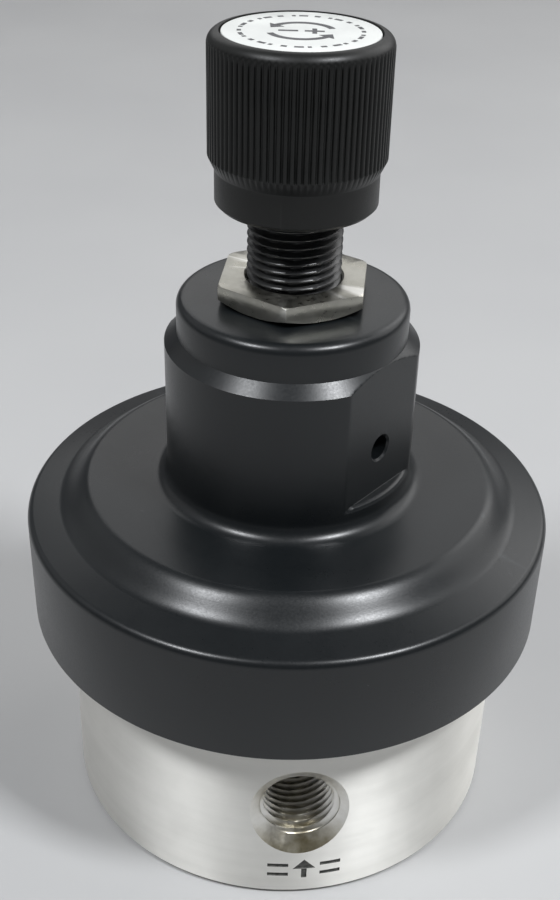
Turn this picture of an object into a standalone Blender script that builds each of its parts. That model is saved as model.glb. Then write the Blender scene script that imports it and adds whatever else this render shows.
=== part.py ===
"""Spring-loaded air pressure regulator, built as separate pieces at real size.

Metres, +Z up. The origin is the centre of the body's underside, the main axis is Z, and the
inlet port faces -Y. Every round piece is turned from an outline of (radius, height) points.
Threads are plain here: a threaded pair keeps a running gap at the thread's major diameter.
"""

import math

import bmesh
import bpy
from mathutils import Matrix, Vector

MM = 0.001
GAP = 0.3 * MM  # free space left between neighbouring pieces

# Steel body
BODY_RADIUS = 41.275 * MM
BODY_TOP = 52.5 * MM
BODY_CHAMFER = 0.8 * MM
OUTLET_CHAMBER_RADIUS = 34.0 * MM
OUTLET_CHAMBER_FLOOR = 48.5 * MM
VALVE_CHAMBER_RADIUS = 8.6 * MM
VALVE_CHAMBER_FLOOR = 14.5 * MM
SEAT_POCKET_RADIUS = 11.0 * MM
SEAT_POCKET_FLOOR = 39.0 * MM

# Pipe ports, female 1/4-18 NPT: inlet at -Y, outlet at +Y, gauge ports at -X and +X
PORT_HEIGHT = 21.0 * MM
PORT_THREAD_RADIUS = 7.3 * MM
PORT_MOUTH_RADIUS = 10.3 * MM
PORT_DEPTH = 16.0 * MM
PORT_CHAMFER_DEPTH = 1.9 * MM
FLOW_DRILL_RADIUS = 3.0 * MM
GAUGE_DRILL_RADIUS = 2.0 * MM
RISER_DISTANCE = 20.0 * MM

# Bonnet
CAP_RADIUS = 47.625 * MM
CAP_BOTTOM = 40.5 * MM
CAP_RIM = 60.55 * MM
CAP_EDGE = (46.9 * MM, 61.25 * MM)  # inner end of the small bevel at the rim
PLATEAU = 66.4 * MM
STEP_INNER_RADIUS = 35.7 * MM
STEP_OUTER_RADIUS = 41.9 * MM
STEP_FOOT = 62.4 * MM
BARREL_RADIUS = 22.0 * MM
BARREL_FILLET = 2.2 * MM
BARREL_SHOULDER = 93.3 * MM
SHOULDER_RISE = 1.9 * MM
NECK_RADIUS = 19.85 * MM
BONNET_TOP = 101.6 * MM
SPRING_BORE_RADIUS = 16.0 * MM
SPRING_BORE_TOP = 90.0 * MM
PLATE_CHAMBER_RADIUS = 34.5 * MM
PLATE_CHAMBER_TOP = 59.8 * MM
CLAMP_FACE = 55.6 * MM
FLAT_DISTANCE = 19.95 * MM
FLAT_BOTTOM = 71.0 * MM
FLAT_AZIMUTH = math.radians(45.5)
VENT_RADIUS = 2.2 * MM
VENT_HEIGHT = 79.3 * MM

# Adjusting screw, 5/8-18, with its knob and jam nut
SCREW_RADIUS = 7.9375 * MM
SCREW_BOTTOM = 88.0 * MM
SCREW_TOP = 141.0 * MM
SCREW_HOLE_RADIUS = 8.2 * MM
NUT_ACROSS_FLATS = 23.8 * MM
NUT_THICKNESS = 3.4 * MM
NUT_LOWER_FACE = 12.0 * MM
NUT_UPPER_FACE = 13.3 * MM
NUT_TURN = math.radians(-10.1)
KNOB_RADIUS = 14.4 * MM
KNOB_TOP = 145.0 * MM
KNOB_EDGE_RADIUS = 1.9 * MM
COLLAR_RADIUS = 13.3 * MM
COLLAR_BOTTOM = 117.8 * MM
COLLAR_TOP = 123.75 * MM
KNURL_BOTTOM = 126.0 * MM
LABEL_RADIUS = 12.2 * MM
LABEL_THICKNESS = 0.6 * MM
LABEL_FLOOR = 144.0 * MM
SET_SCREW_HEIGHT = 120.8 * MM
SET_SCREW_RADIUS = 2.3 * MM

# Thrust ball and range spring
BALL_RADIUS = 3.97 * MM
BALL_HEIGHT = 86.5 * MM
BUTTON_RADIUS = 14.6 * MM
BUTTON_TOP = 85.0 * MM
BUTTON_FLANGE = 3.5 * MM
SPRING_RADIUS = 12.0 * MM
SPRING_WIRE = 1.2 * MM
SPRING_ACTIVE_TURNS = 2.25

# Diaphragm stack
DIAPHRAGM_BOTTOM = 52.8 * MM
DIAPHRAGM_THICKNESS = 0.9 * MM
DIAPHRAGM_RADIUS = 41.0 * MM
ROLL_INNER_RADIUS = 26.2 * MM
ROLL_OUTER_RADIUS = 33.6 * MM
ROLL_HEIGHT = 2.2 * MM
STUD_RADIUS = 4.0 * MM
STUD_TOP = 63.2 * MM
PUSHER_RADIUS = 24.0 * MM
PUSHER_BOTTOM = 50.3 * MM
BACKING_RADIUS = 25.0 * MM
SPRING_SEAT = 57.6 * MM
STACK_WASHER_THICKNESS = 1.0 * MM
STACK_NUT_ACROSS_FLATS = 12.7 * MM
STACK_NUT_THICKNESS = 3.6 * MM
STACK_NUT_FACE = 6.0 * MM

# Main valve
STEM_RADIUS = 1.5 * MM
STEM_TOP = 49.6 * MM
POPPET_RADIUS = 4.6 * MM
POPPET_CONE_TOP = 39.7 * MM
POPPET_BASE = 34.0 * MM
TAIL_RADIUS = 2.4 * MM
TAIL_BOTTOM = 16.3 * MM
GUIDE_TOP = 18.5 * MM
VALVE_SPRING_RADIUS = 3.5 * MM
VALVE_SPRING_WIRE = 0.4 * MM

FINE = 60  # sides of the large turned pieces
MEDIUM = 32
COARSE = 24


def clear_scene():
    for thing in list(bpy.data.objects):
        bpy.data.objects.remove(thing)


def finish_of(name, colour, roughness, metallic):
    """A plain Principled material, made once and then reused by name."""
    found = bpy.data.materials.get(name)
    if found:
        return found
    made = bpy.data.materials.new(name)
    made.use_nodes = True
    shader = made.node_tree.nodes["Principled BSDF"]
    shader.inputs["Base Color"].default_value = (*colour, 1.0)
    shader.inputs["Roughness"].default_value = roughness
    shader.inputs["Metallic"].default_value = metallic
    return made


def stainless():
    return finish_of("stainless_steel", (0.62, 0.61, 0.57), 0.32, 1.0)


def black_anodised():
    return finish_of("black_anodised_aluminium", (0.030, 0.034, 0.035), 0.38, 0.3)


def black_oxide():
    return finish_of("black_oxide_steel", (0.035, 0.034, 0.032), 0.42, 0.7)


def nickel():
    return finish_of("nickel_plate", (0.55, 0.53, 0.46), 0.28, 1.0)


def black_plastic():
    return finish_of("black_plastic", (0.020, 0.020, 0.019), 0.45, 0.0)


def white_label():
    return finish_of("white_label", (0.85, 0.86, 0.83), 0.5, 0.0)


def spring_steel():
    return finish_of("spring_steel", (0.30, 0.29, 0.27), 0.35, 1.0)


def black_rubber():
    return finish_of("black_rubber", (0.022, 0.022, 0.022), 0.6, 0.0)


def seat_polymer():
    return finish_of("seat_polymer", (0.78, 0.76, 0.70), 0.45, 0.0)


def filter_mesh():
    return finish_of("filter_mesh", (0.42, 0.40, 0.36), 0.55, 1.0)


def object_from(name, bm, finish, sharp=35.0):
    bmesh.ops.remove_doubles(bm, verts=bm.verts, dist=1e-7)
    bmesh.ops.recalc_face_normals(bm, faces=bm.faces)
    mesh = bpy.data.meshes.new(name)
    bm.to_mesh(mesh)
    bm.free()
    mesh.shade_smooth()
    mesh.set_sharp_from_angle(angle=math.radians(sharp))
    mesh.materials.append(finish)
    thing = bpy.data.objects.new(name, mesh)
    bpy.context.scene.collection.objects.link(thing)
    return thing


def turned(name, outline, finish, sides=MEDIUM, closed=True):
    """Turn an outline of (radius, height) points about Z.

    A closed outline makes a ring. An open one starts and ends on the axis and makes a plug.
    """
    bm = bmesh.new()
    verts = [bm.verts.new((radius, 0.0, height)) for radius, height in outline]
    pairs = list(zip(verts, verts[1:]))
    if closed:
        pairs.append((verts[-1], verts[0]))
    edges = [bm.edges.new(pair) for pair in pairs]
    bmesh.ops.spin(
        bm,
        geom=verts + edges,
        cent=(0.0, 0.0, 0.0),
        axis=(0.0, 0.0, 1.0),
        angle=2.0 * math.pi,
        steps=sides,
        use_merge=True,
    )
    return object_from(name, bm, finish)


def arc(centre, radius, start, stop, steps):
    """Points on an arc of the (radius, height) plane, angles in degrees from outwards."""
    points = []
    for step in range(steps + 1):
        angle = math.radians(start + (stop - start) * step / steps)
        points.append((centre[0] + radius * math.cos(angle), centre[1] + radius * math.sin(angle)))
    return points


def smooth_step(inner, outer, outer_slope, steps):
    """A step down from inner to outer, level at its start and on outer_slope at its end."""
    run = outer[0] - inner[0]
    drop = outer[1] - inner[1]
    points = []
    for step in range(steps + 1):
        t = step / steps
        height = inner[1] + drop * (3 * t**2 - 2 * t**3) + outer_slope * run * (t**3 - t**2)
        points.append((inner[0] + run * t, height))
    return points


def at_azimuth(azimuth):
    """Turn about Z that carries the -Y direction to this azimuth, positive towards +X."""
    return Matrix.Rotation(azimuth, 4, "Z")


def cut(thing, cutter, operation="DIFFERENCE"):
    cutter.hide_render = True
    cutter.display_type = "WIRE"
    boolean = thing.modifiers.new(cutter.name, "BOOLEAN")
    boolean.operation = operation
    boolean.solver = "EXACT"
    boolean.object = cutter


def drill(name, outline, place, sides=COARSE):
    """A turned cutter along local Z, carried to its place."""
    cutter = turned(name, outline, stainless(), sides, closed=False)
    cutter.data.transform(place)
    return cutter


def rod_outline(radius, low, high):
    return [(0.0, low), (radius, low), (radius, high), (0.0, high)]


def box_cutter(name, size, place):
    bm = bmesh.new()
    bmesh.ops.create_cube(bm, size=1.0)
    bmesh.ops.scale(bm, vec=Vector(size), verts=bm.verts)
    bmesh.ops.transform(bm, matrix=place, verts=bm.verts)
    return object_from(name, bm, stainless())


def hex_bar(name, across_flats, low, high, turn, finish):
    """A hexagonal bar along Z. With turn 0 a corner faces -Y."""
    bm = bmesh.new()
    bmesh.ops.create_cone(
        bm,
        cap_ends=True,
        segments=6,
        radius1=across_flats / math.sqrt(3.0),
        radius2=across_flats / math.sqrt(3.0),
        depth=high - low,
        matrix=Matrix.Translation((0.0, 0.0, (low + high) / 2)) @ at_azimuth(turn),
    )
    return object_from(name, bm, finish)


def coil_spring(name, radius, wire, low, high, active_turns, finish, points_per_turn=16):
    """A compression spring with one closed turn at each end, between two level faces."""
    closed_pitch = 2.0 * wire + 0.25 * MM
    start = low + wire
    rise = high - low - 2.0 * wire
    active_pitch = (rise - 2.0 * closed_pitch) / active_turns
    turns = active_turns + 2.0
    count = int(turns * points_per_turn)
    curve = bpy.data.curves.new(name, "CURVE")
    curve.dimensions = "3D"
    curve.bevel_depth = wire
    curve.bevel_resolution = 1
    curve.use_fill_caps = True
    spline = curve.splines.new("POLY")
    spline.points.add(count)
    for index, point in enumerate(spline.points):
        turn = turns * index / count
        first = min(turn, 1.0)
        last = max(turn - 1.0 - active_turns, 0.0)
        height = start + (first + last) * closed_pitch + (turn - first - last) * active_pitch
        angle = 2.0 * math.pi * turn
        point.co = (radius * math.cos(angle), radius * math.sin(angle), height, 1.0)
    curve.materials.append(finish)
    thing = bpy.data.objects.new(name, curve)
    bpy.context.scene.collection.objects.link(thing)
    return thing


def o_ring(name, radius, wire, height, sides=MEDIUM):
    return turned(name, arc((radius, height), wire, 0.0, 300.0, 5), black_rubber(), sides)


def axis_to_azimuth(azimuth, height):
    """Carries local +Z to point outwards at this azimuth, from the main axis at this height."""
    lift = Matrix.Translation((0.0, 0.0, height))
    return lift @ at_azimuth(azimuth) @ Matrix.Rotation(math.radians(90.0), 4, "X")


def body_outline():
    groove_inner = 36.8 * MM
    groove_outer = 39.6 * MM
    groove_floor = 50.2 * MM
    chamber_corner = 1.5 * MM
    edge = 0.6 * MM
    return [
        (0.0, 0.0),
        (BODY_RADIUS - BODY_CHAMFER, 0.0),
        (BODY_RADIUS, BODY_CHAMFER),
        (BODY_RADIUS, BODY_TOP - edge),
        (BODY_RADIUS - edge, BODY_TOP),
        (groove_outer, BODY_TOP),
        (groove_outer, groove_floor),
        (groove_inner, groove_floor),
        (groove_inner, BODY_TOP),
        (OUTLET_CHAMBER_RADIUS, BODY_TOP),
        (OUTLET_CHAMBER_RADIUS, OUTLET_CHAMBER_FLOOR + chamber_corner),
        (OUTLET_CHAMBER_RADIUS - chamber_corner, OUTLET_CHAMBER_FLOOR),
        (SEAT_POCKET_RADIUS, OUTLET_CHAMBER_FLOOR),
        (SEAT_POCKET_RADIUS, SEAT_POCKET_FLOOR),
        (VALVE_CHAMBER_RADIUS, SEAT_POCKET_FLOOR),
        (VALVE_CHAMBER_RADIUS, VALVE_CHAMBER_FLOOR),
        (0.0, VALVE_CHAMBER_FLOOR),
    ]


def port_cutter(name, azimuth, drill_radius, reach):
    """One tapped port with its countersink, and the drilled way inwards to reach."""
    bottom = BODY_RADIUS - PORT_DEPTH
    slope = PORT_CHAMFER_DEPTH / (PORT_MOUTH_RADIUS - PORT_THREAD_RADIUS)
    run_out = 1.5 * MM
    outline = [
        (0.0, reach),
        (drill_radius, reach),
        (drill_radius, bottom),
        (PORT_THREAD_RADIUS, bottom),
        (PORT_THREAD_RADIUS, BODY_RADIUS - PORT_CHAMFER_DEPTH),
        (PORT_MOUTH_RADIUS + run_out, BODY_RADIUS + run_out * slope),
        (0.0, BODY_RADIUS + run_out * slope),
    ]
    return drill(name, outline, axis_to_azimuth(azimuth, PORT_HEIGHT), 32)


def make_body():
    """The steel body: four ports, the valve chamber in the middle and two risers."""
    body = turned("body", body_outline(), stainless(), FINE, closed=False)
    quarter = math.pi / 2.0
    into_chamber = 5.0 * MM
    cut(body, port_cutter("inlet_port_cutter", 0.0, FLOW_DRILL_RADIUS, into_chamber))
    cut(body, port_cutter("outlet_port_cutter", 2 * quarter, FLOW_DRILL_RADIUS, RISER_DISTANCE))
    cut(body, port_cutter("inlet_gauge_port_cutter", -quarter, GAUGE_DRILL_RADIUS, into_chamber))
    cut(body, port_cutter("outlet_gauge_port_cutter", quarter, GAUGE_DRILL_RADIUS, RISER_DISTANCE))
    riser_start = PORT_HEIGHT - 0.5 * MM
    riser_end = OUTLET_CHAMBER_FLOOR + 2.0 * MM
    for name, place, radius in (
        ("outlet_riser_cutter", (0.0, RISER_DISTANCE, 0.0), 3.3 * MM),
        ("gauge_riser_cutter", (RISER_DISTANCE, 0.0, 0.0), 2.3 * MM),
    ):
        outline = rod_outline(radius, riser_start, riser_end)
        cut(body, drill(name, outline, Matrix.Translation(place)))
    return body


def bonnet_outside():
    """From the skirt's lower edge up to the edge of the screw hole."""
    skirt_edge = 0.4 * MM
    slope = (STEP_FOOT - CAP_EDGE[1]) / (STEP_OUTER_RADIUS - CAP_EDGE[0])
    step = smooth_step((STEP_INNER_RADIUS, PLATEAU), (STEP_OUTER_RADIUS, STEP_FOOT), slope, 7)
    fillet_centre = (BARREL_RADIUS + BARREL_FILLET, PLATEAU + BARREL_FILLET)
    edge = 1.2 * MM
    hole_edge = 0.5 * MM
    outline = [
        (CAP_RADIUS - skirt_edge, CAP_BOTTOM),
        (CAP_RADIUS, CAP_BOTTOM + skirt_edge),
        (CAP_RADIUS, CAP_RIM),
        CAP_EDGE,
    ]
    outline += reversed(step)
    outline += arc(fillet_centre, BARREL_FILLET, 270.0, 180.0, 4)
    outline += [
        (BARREL_RADIUS, BARREL_SHOULDER),
        (NECK_RADIUS, BARREL_SHOULDER + SHOULDER_RISE),
    ]
    outline += arc((NECK_RADIUS - edge, BONNET_TOP - edge), edge, 0.0, 90.0, 3)
    outline += [
        (SCREW_HOLE_RADIUS + hole_edge, BONNET_TOP),
        (SCREW_HOLE_RADIUS, BONNET_TOP - hole_edge),
    ]
    return outline


def bonnet_inside():
    """From the screw hole down to the skirt's lower edge."""
    bore_mouth = 1.0 * MM
    return [
        (SCREW_HOLE_RADIUS, SPRING_BORE_TOP),
        (SPRING_BORE_RADIUS, SPRING_BORE_TOP),
        (SPRING_BORE_RADIUS, PLATE_CHAMBER_TOP + bore_mouth),
        (SPRING_BORE_RADIUS + bore_mouth, PLATE_CHAMBER_TOP),
        (PLATE_CHAMBER_RADIUS, PLATE_CHAMBER_TOP),
        (PLATE_CHAMBER_RADIUS, CLAMP_FACE),
        (BODY_RADIUS + GAP, CLAMP_FACE),
        (BODY_RADIUS + GAP, CAP_BOTTOM + bore_mouth),
        (BODY_RADIUS + GAP + bore_mouth, CAP_BOTTOM),
    ]


def make_bonnet():
    """One piece: the wide cap that screws over the body, and the spring barrel above it."""
    bonnet = turned("bonnet", bonnet_outside() + bonnet_inside(), black_anodised(), FINE)
    width = 60.0 * MM
    depth = 10.0 * MM
    height = BARREL_SHOULDER + 2 * SHOULDER_RISE - FLAT_BOTTOM
    for name, azimuth in (("front_flat_cutter", 0.0), ("rear_flat_cutter", math.pi)):
        place = at_azimuth(FLAT_AZIMUTH + azimuth) @ Matrix.Translation(
            (0.0, -FLAT_DISTANCE - depth / 2, FLAT_BOTTOM + height / 2)
        )
        cut(bonnet, box_cutter(name, (width, depth, height), place))
    run_out = 2.0 * MM
    outline = rod_outline(VENT_RADIUS, SPRING_BORE_RADIUS - run_out, BARREL_RADIUS + run_out)
    cut(bonnet, drill("vent_cutter", outline, axis_to_azimuth(FLAT_AZIMUTH, VENT_HEIGHT), 20))
    return bonnet


def make_screw():
    """The adjusting screw, with a cup in its lower end for the thrust ball."""
    cup = BALL_RADIUS + GAP
    cup_angle = math.degrees(math.asin((SCREW_BOTTOM - BALL_HEIGHT) / cup))
    cup_end = 75.0  # degrees: the cup stops short of the axis, as a drill point leaves it
    chamfer = 1.0 * MM
    outline = [(0.0, BALL_HEIGHT + cup)]
    outline += reversed(arc((0.0, BALL_HEIGHT), cup, cup_angle, cup_end, 4))
    outline += [
        (SCREW_RADIUS - chamfer, SCREW_BOTTOM),
        (SCREW_RADIUS, SCREW_BOTTOM + chamfer),
        (SCREW_RADIUS, SCREW_TOP - chamfer),
        (SCREW_RADIUS - chamfer, SCREW_TOP),
        (0.0, SCREW_TOP),
    ]
    return turned("adjusting_screw", outline, black_oxide(), MEDIUM, closed=False)


def hexagon_nut(name, across_flats, heights, faces, hole, turn, finish):
    """A hexagon whose corners are turned off at 30 degrees outside each face's circle.

    heights and faces hold the lower face's height and radius, then the upper face's.
    """
    low, high = heights
    outside = 1.02 * across_flats / math.sqrt(3.0)
    slant = math.tan(math.radians(30.0))
    outline = [
        (hole, low),
        (faces[0], low),
        (outside, low + (outside - faces[0]) * slant),
        (outside, high - (outside - faces[1]) * slant),
        (faces[1], high),
        (hole, high),
    ]
    nut = turned(name, outline, finish, COARSE)
    reach = 2.0 * MM
    bar = hex_bar(name + "_hexagon", across_flats, low - reach, high + reach, turn, finish)
    cut(nut, bar, "INTERSECT")
    return nut


def make_jam_nut():
    low = BONNET_TOP + GAP
    heights = (low, low + NUT_THICKNESS)
    faces = (NUT_LOWER_FACE, NUT_UPPER_FACE)
    hole = SCREW_RADIUS + GAP
    return hexagon_nut("jam_nut", NUT_ACROSS_FLATS, heights, faces, hole, NUT_TURN, nickel())


def make_knob():
    """The knob: a rounded top with a label recess, the grip, and a plain collar below."""
    edge = 0.5 * MM
    edge_sweep = 84.0  # degrees
    edge_centre = (KNOB_RADIUS - KNOB_EDGE_RADIUS, KNOB_TOP - KNOB_EDGE_RADIUS)
    bore = SCREW_RADIUS + GAP
    recess = LABEL_RADIUS + GAP
    outline = [
        (bore, COLLAR_BOTTOM),
        (COLLAR_RADIUS - edge, COLLAR_BOTTOM),
        (COLLAR_RADIUS, COLLAR_BOTTOM + edge),
        (COLLAR_RADIUS, COLLAR_TOP),
        (KNOB_RADIUS, KNURL_BOTTOM),
    ]
    outline += arc(edge_centre, KNOB_EDGE_RADIUS, 0.0, edge_sweep, 4)
    outline += [
        (recess, KNOB_TOP),
        (recess, LABEL_FLOOR),
        (0.0, LABEL_FLOOR),
        (0.0, SCREW_TOP + GAP),
        (bore, SCREW_TOP + GAP),
    ]
    knob = turned("knob", outline, black_plastic(), 48)
    run_out = 2.0 * MM
    tapped = rod_outline(SET_SCREW_RADIUS + GAP, bore - run_out, COLLAR_RADIUS + run_out)
    cut(knob, drill("set_screw_hole", tapped, axis_to_azimuth(math.pi, SET_SCREW_HEIGHT), 16))
    return knob


def make_knob_label():
    low = LABEL_FLOOR + GAP
    outline = rod_outline(LABEL_RADIUS, low, low + LABEL_THICKNESS)
    return turned("knob_label", outline, white_label(), 48, closed=False)


def make_knob_set_screw():
    """A socket set screw in the back of the collar, ending against the screw."""
    inner = SCREW_RADIUS + GAP
    outer = COLLAR_RADIUS - 0.6 * MM
    socket_across_flats = 2.5 * MM
    socket_floor = outer - 2.2 * MM
    place = axis_to_azimuth(math.pi, SET_SCREW_HEIGHT)
    screw = drill("knob_set_screw", rod_outline(SET_SCREW_RADIUS, inner, outer), place, 16)
    screw.data.materials.clear()
    screw.data.materials.append(black_oxide())
    size = socket_across_flats
    socket = hex_bar("set_screw_socket", size, socket_floor, outer + MM, 0.0, black_oxide())
    socket.data.transform(place)
    cut(screw, socket)
    return screw


def make_thrust_ball():
    bm = bmesh.new()
    bmesh.ops.create_uvsphere(bm, u_segments=18, v_segments=10, radius=BALL_RADIUS)
    bmesh.ops.translate(bm, vec=(0.0, 0.0, BALL_HEIGHT), verts=bm.verts)
    return object_from("thrust_ball", bm, nickel(), 60.0)


def make_spring_button():
    """The upper spring rest: a cup for the ball above, a centring boss below."""
    cup = BALL_RADIUS + GAP
    cup_angle = math.degrees(math.asin((BALL_HEIGHT - BUTTON_TOP) / cup))
    underside = BUTTON_TOP - BUTTON_FLANGE
    boss = 9.6 * MM
    boss_bottom = underside - 4.5 * MM
    cup_end = 75.0  # degrees
    chamfer = 0.8 * MM
    outline = [(0.0, BALL_HEIGHT - cup)]
    outline += arc((0.0, BALL_HEIGHT), cup, -cup_end, -cup_angle, 4)
    outline += [
        (BUTTON_RADIUS - chamfer, BUTTON_TOP),
        (BUTTON_RADIUS, BUTTON_TOP - chamfer),
        (BUTTON_RADIUS, underside),
        (boss, underside),
        (boss, boss_bottom + chamfer),
        (boss - chamfer, boss_bottom),
        (0.0, boss_bottom),
    ]
    return turned("spring_button", outline, nickel(), MEDIUM, closed=False)


def make_range_spring():
    low = SPRING_SEAT + GAP
    high = BUTTON_TOP - BUTTON_FLANGE - GAP
    turns = SPRING_ACTIVE_TURNS
    return coil_spring("range_spring", SPRING_RADIUS, SPRING_WIRE, low, high, turns, spring_steel())


def make_diaphragm():
    """A moulded diaphragm: flat in the middle and at the rim, with one roll between."""
    steps = 6
    hole = STUD_RADIUS + GAP
    lower = [(hole, DIAPHRAGM_BOTTOM)]
    for step in range(steps + 1):
        t = step / steps
        radius = ROLL_INNER_RADIUS + (ROLL_OUTER_RADIUS - ROLL_INNER_RADIUS) * t
        lower.append((radius, DIAPHRAGM_BOTTOM + ROLL_HEIGHT * math.sin(math.pi * t) ** 2))
    lower.append((DIAPHRAGM_RADIUS, DIAPHRAGM_BOTTOM))
    upper = [(radius, height + DIAPHRAGM_THICKNESS) for radius, height in reversed(lower)]
    return turned("diaphragm", lower + upper, black_rubber(), 40)


def make_slip_ring():
    """The ring that lets the bonnet turn down without wrinkling the diaphragm."""
    low = DIAPHRAGM_BOTTOM + DIAPHRAGM_THICKNESS + GAP
    high = CLAMP_FACE - GAP
    inner = PLATE_CHAMBER_RADIUS + 0.4 * MM
    outline = [(inner, low), (DIAPHRAGM_RADIUS, low), (DIAPHRAGM_RADIUS, high), (inner, high)]
    return turned("slip_ring", outline, stainless(), 48)


def make_pusher_plate():
    """The plate under the diaphragm, with its stud above and its pusher tip below."""
    top = DIAPHRAGM_BOTTOM - GAP
    tip = STEM_TOP + GAP
    tip_radius = 3.0 * MM
    chamfer = 0.6 * MM
    outline = [
        (0.0, tip),
        (tip_radius, tip),
        (tip_radius, PUSHER_BOTTOM),
        (PUSHER_RADIUS - chamfer, PUSHER_BOTTOM),
        (PUSHER_RADIUS, PUSHER_BOTTOM + chamfer),
        (PUSHER_RADIUS, top),
        (STUD_RADIUS, top),
        (STUD_RADIUS, STUD_TOP - chamfer),
        (STUD_RADIUS - chamfer, STUD_TOP),
        (0.0, STUD_TOP),
    ]
    return turned("pusher_plate", outline, stainless(), MEDIUM, closed=False)


def make_backing_plate():
    """The plate above the diaphragm, with the lower spring rest inside its rim."""
    low = DIAPHRAGM_BOTTOM + DIAPHRAGM_THICKNESS + GAP
    disc_top = low + 2.0 * MM
    rim_inner = SPRING_RADIUS + SPRING_WIRE + 0.8 * MM
    rim_outer = rim_inner + 2.6 * MM
    rim_top = SPRING_SEAT + 1.3 * MM
    hole = STUD_RADIUS + GAP
    outline = [
        (hole, low),
        (BACKING_RADIUS, low),
        (BACKING_RADIUS, disc_top),
        (rim_outer, disc_top),
        (rim_outer, rim_top),
        (rim_inner, rim_top),
        (rim_inner, SPRING_SEAT),
        (hole, SPRING_SEAT),
    ]
    return turned("backing_plate", outline, stainless(), MEDIUM)


def make_stack_washer():
    low = SPRING_SEAT + GAP
    high = low + STACK_WASHER_THICKNESS
    inner = STUD_RADIUS + GAP
    outer = 8.0 * MM
    outline = [(inner, low), (outer, low), (outer, high), (inner, high)]
    return turned("stack_washer", outline, nickel(), COARSE)


def make_stack_nut():
    low = SPRING_SEAT + 2 * GAP + STACK_WASHER_THICKNESS
    heights = (low, low + STACK_NUT_THICKNESS)
    faces = (STACK_NUT_FACE, STACK_NUT_FACE)
    hole = STUD_RADIUS + GAP
    return hexagon_nut("stack_nut", STACK_NUT_ACROSS_FLATS, heights, faces, hole, 0.0, nickel())


def make_body_seal():
    radius = 38.2 * MM
    wire = 1.0 * MM
    height = BODY_TOP - wire
    return o_ring("body_seal", radius, wire, height, 48)


def make_seat_retainer():
    """The threaded gland that holds the soft seat, with a driver slot across its top."""
    low = SEAT_POCKET_FLOOR + GAP
    high = OUTLET_CHAMBER_FLOOR - GAP
    outer = SEAT_POCKET_RADIUS - GAP
    nose = 8.4 * MM
    nose_top = low + 2.3 * MM
    orifice = 2.6 * MM
    seat_pocket = 5.3 * MM
    outline = [
        (seat_pocket, low),
        (nose, low),
        (nose, nose_top),
        (outer, nose_top),
        (outer, high),
        (orifice, high),
        (orifice, nose_top),
        (seat_pocket, nose_top),
    ]
    retainer = turned("seat_retainer", outline, stainless(), 32)
    slot_size = (30.0 * MM, 2.4 * MM, 2.6 * MM)
    slot_place = Matrix.Translation((0.0, 0.0, high))
    cut(retainer, box_cutter("driver_slot", slot_size, slot_place))
    return retainer


def make_valve_seat():
    low = SEAT_POCKET_FLOOR + 0.4 * MM
    high = low + 1.9 * MM
    inner = 2.2 * MM
    outer = 5.0 * MM
    outline = [(inner, low), (outer, low), (outer, high), (inner, high)]
    return turned("valve_seat", outline, seat_polymer(), COARSE)


def make_seat_seal():
    radius = 9.7 * MM
    wire = 0.85 * MM
    height = SEAT_POCKET_FLOOR + wire + GAP
    return o_ring("seat_seal", radius, wire, height, COARSE)


def make_poppet():
    """The valve: a stem up to the pusher, a cone that meets the seat, a guided tail."""
    cone_run = POPPET_RADIUS - STEM_RADIUS
    chamfer = 0.4 * MM
    outline = [
        (0.0, TAIL_BOTTOM),
        (TAIL_RADIUS - chamfer, TAIL_BOTTOM),
        (TAIL_RADIUS, TAIL_BOTTOM + chamfer),
        (TAIL_RADIUS, POPPET_BASE),
        (POPPET_RADIUS, POPPET_BASE),
        (POPPET_RADIUS, POPPET_CONE_TOP - cone_run),
        (STEM_RADIUS, POPPET_CONE_TOP),
        (STEM_RADIUS, STEM_TOP - chamfer),
        (STEM_RADIUS - chamfer, STEM_TOP),
        (0.0, STEM_TOP),
    ]
    return turned("poppet", outline, stainless(), COARSE, closed=False)


def make_poppet_guide():
    low = VALVE_CHAMBER_FLOOR + GAP
    outer = VALVE_CHAMBER_RADIUS - GAP
    inner = TAIL_RADIUS + GAP
    outline = [(inner, low), (outer, low), (outer, GUIDE_TOP), (inner, GUIDE_TOP)]
    return turned("poppet_guide", outline, seat_polymer(), COARSE)


def make_inlet_filter():
    low = GUIDE_TOP + GAP
    high = SEAT_POCKET_FLOOR - 0.2 * MM
    outer = VALVE_CHAMBER_RADIUS - GAP
    inner = outer - 0.8 * MM
    outline = [(inner, low), (outer, low), (outer, high), (inner, high)]
    return turned("inlet_filter", outline, filter_mesh(), 32)


def make_valve_spring():
    low = GUIDE_TOP + GAP
    high = POPPET_BASE - GAP
    radius = VALVE_SPRING_RADIUS
    wire = VALVE_SPRING_WIRE
    turns = 5.0
    return coil_spring("valve_spring", radius, wire, low, high, turns, spring_steel(), 10)


def main():
    clear_scene()
    makers = (
        make_body,
        make_bonnet,
        make_body_seal,
        make_diaphragm,
        make_slip_ring,
        make_seat_retainer,
        make_valve_seat,
        make_seat_seal,
        make_inlet_filter,
        make_poppet_guide,
        make_poppet,
        make_valve_spring,
        make_pusher_plate,
        make_backing_plate,
        make_stack_washer,
        make_stack_nut,
        make_range_spring,
        make_spring_button,
        make_thrust_ball,
        make_jam_nut,
        make_screw,
        make_knob,
        make_knob_set_screw,
        make_knob_label,
    )
    for maker in makers:
        maker()


main()
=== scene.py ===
import math

import bmesh
import bpy
import numpy as np
from mathutils import Matrix, Vector


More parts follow.
